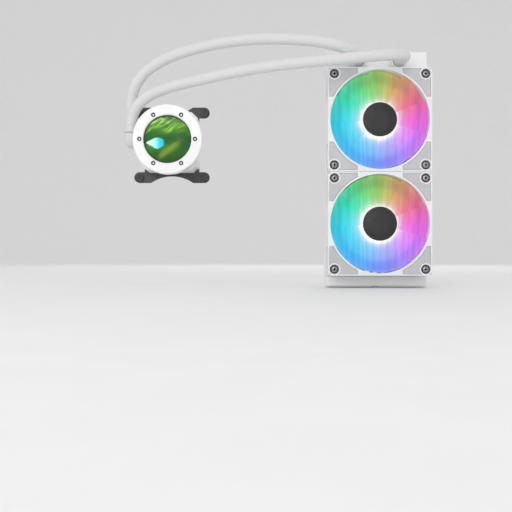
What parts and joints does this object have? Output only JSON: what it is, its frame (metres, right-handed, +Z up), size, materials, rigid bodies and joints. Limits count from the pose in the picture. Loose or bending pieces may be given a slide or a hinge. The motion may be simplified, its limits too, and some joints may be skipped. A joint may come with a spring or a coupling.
{
  "type": "liquid cooling radiator",
  "caption": "Slim liquid cooling radiator with front fans, two flexible hoses and a round-faced pump head with a cold plate.",
  "frame": {"origin": "centre of the radiator's rear bolt pattern, on its rear face, midway between the fans", "axes": "+Z up towards the tank with the hose ports, +X to the right seen from the fans, -Y out of the fans' faces"},
  "size_m": [0.3561, 0.1012, 0.2917],
  "materials": {
    "white_painted_metal": "satin",
    "white_painted_fin": "satin",
    "bare_aluminium": "satin",
    "nickel_fitting": "polished",
    "white_frame_plastic": "matt",
    "grey_pad_rubber": "matt",
    "lit_blade_plastic": "frosted",
    "black_badge": "satin",
    "ferrite_magnet": "matt",
    "ground_steel": "ground",
    "sintered_bronze": "matt",
    "lamination_steel": "matt",
    "copper_winding": "enamelled",
    "circuit_board": "satin",
    "black_screw": "black oxide",
    "black_washer": "black oxide",
    "hose_sleeve": "braided sleeve",
    "white_gloss_plastic": "gloss",
    "seal_rubber": "matt",
    "copper_plate": "lapped",
    "black_plastic": "matt",
    "black_bracket_steel": "powder coat",
    "white_housing_plastic": "fine texture",
    "ceramic_shaft": "ground",
    "display_face": "lit picture",
    "display_glass": "clear"
  },
  "bodies": {
    "root": {"flat_tubes": "bare_aluminium", "fin_strips": "white_painted_fin", "header_plates": "bare_aluminium", "port_tank": "white_painted_metal", "end_tank": "white_painted_metal", "tank_baffle": "bare_aluminium", "left_side_rail": "white_painted_metal", "right_side_rail": "white_painted_metal", "tank_ports": "nickel_fitting", "fill_plug": "nickel_fitting", "fan_screws": "black_screw", "screw_washers": "black_washer", "return_hose": "hose_sleeve", "supply_hose": "hose_sleeve", "radiator_collars": "white_gloss_plastic", "cold_plate": "copper_plate", "cold_plate_screws": "ground_steel", "cold_plate_seal": "seal_rubber", "jet_plate": "black_plastic", "pump_housing": "white_housing_plastic", "mounting_bracket": "black_bracket_steel", "bracket_studs": "ground_steel", "thumb_nuts": "black_screw", "impeller_shaft": "ceramic_shaft", "pump_can": "black_plastic", "pump_stator_core": "lamination_steel", "pump_stator_coils": "copper_winding", "pump_circuit_board": "circuit_board", "pump_shell": "white_housing_plastic", "front_ring": "white_housing_plastic", "display_panel": "display_face", "display_lens": "display_glass", "ring_screws": "black_screw", "upper_fan_frame": "white_frame_plastic", "upper_fan_corner_pads": "grey_pad_rubber", "upper_fan_bearing_sleeve": "sintered_bronze", "upper_fan_stator_core": "lamination_steel", "upper_fan_stator_coils": "copper_winding", "upper_fan_circuit_board": "circuit_board", "lower_fan_frame": "white_frame_plastic", "lower_fan_corner_pads": "grey_pad_rubber", "lower_fan_bearing_sleeve": "sintered_bronze", "lower_fan_stator_core": "lamination_steel", "lower_fan_stator_coils": "copper_winding", "lower_fan_circuit_board": "circuit_board"},
    "upper_fan": {"upper_fan_rotor": "lit_blade_plastic", "upper_fan_hub_badge": "black_badge", "upper_fan_magnet_ring": "ferrite_magnet", "upper_fan_shaft": "ground_steel"},
    "lower_fan": {"lower_fan_rotor": "lit_blade_plastic", "lower_fan_hub_badge": "black_badge", "lower_fan_magnet_ring": "ferrite_magnet", "lower_fan_shaft": "ground_steel"},
    "pump_impeller": {"impeller": "black_plastic"},
    "return_swivel": {"return_elbow": "white_gloss_plastic", "return_elbow_seal": "seal_rubber", "return_pump_collar": "white_gloss_plastic"},
    "supply_swivel": {"supply_elbow": "white_gloss_plastic", "supply_elbow_seal": "seal_rubber", "supply_pump_collar": "white_gloss_plastic"}
  },
  "joints": [
    {"name": "upper_fan_spin", "type": "hinge", "parent": "root", "child": "upper_fan", "pos_m": [0, -0.04, 0.06], "axis": [0, -1, 0], "continuous": true},
    {"name": "lower_fan_spin", "type": "hinge", "parent": "root", "child": "lower_fan", "pos_m": [0, -0.04, -0.06], "axis": [0, -1, 0], "continuous": true},
    {"name": "impeller_spin", "type": "hinge", "parent": "root", "child": "pump_impeller", "pos_m": [-0.244, -0.02, 0.0365], "axis": [0, -1, 0], "continuous": true},
    {"name": "return_elbow_swivel", "type": "hinge", "parent": "root", "child": "return_swivel", "pos_m": [-0.288, -0.019, 0.0365], "axis": [1, 0, 0], "range_deg": [-15, 3], "deforming": ["return_hose"]},
    {"name": "supply_elbow_swivel", "type": "hinge", "parent": "root", "child": "supply_swivel", "pos_m": [-0.288, -0.038, 0.0365], "axis": [1, 0, 0], "range_deg": [-3, 7], "deforming": ["supply_hose"]}
  ]
}
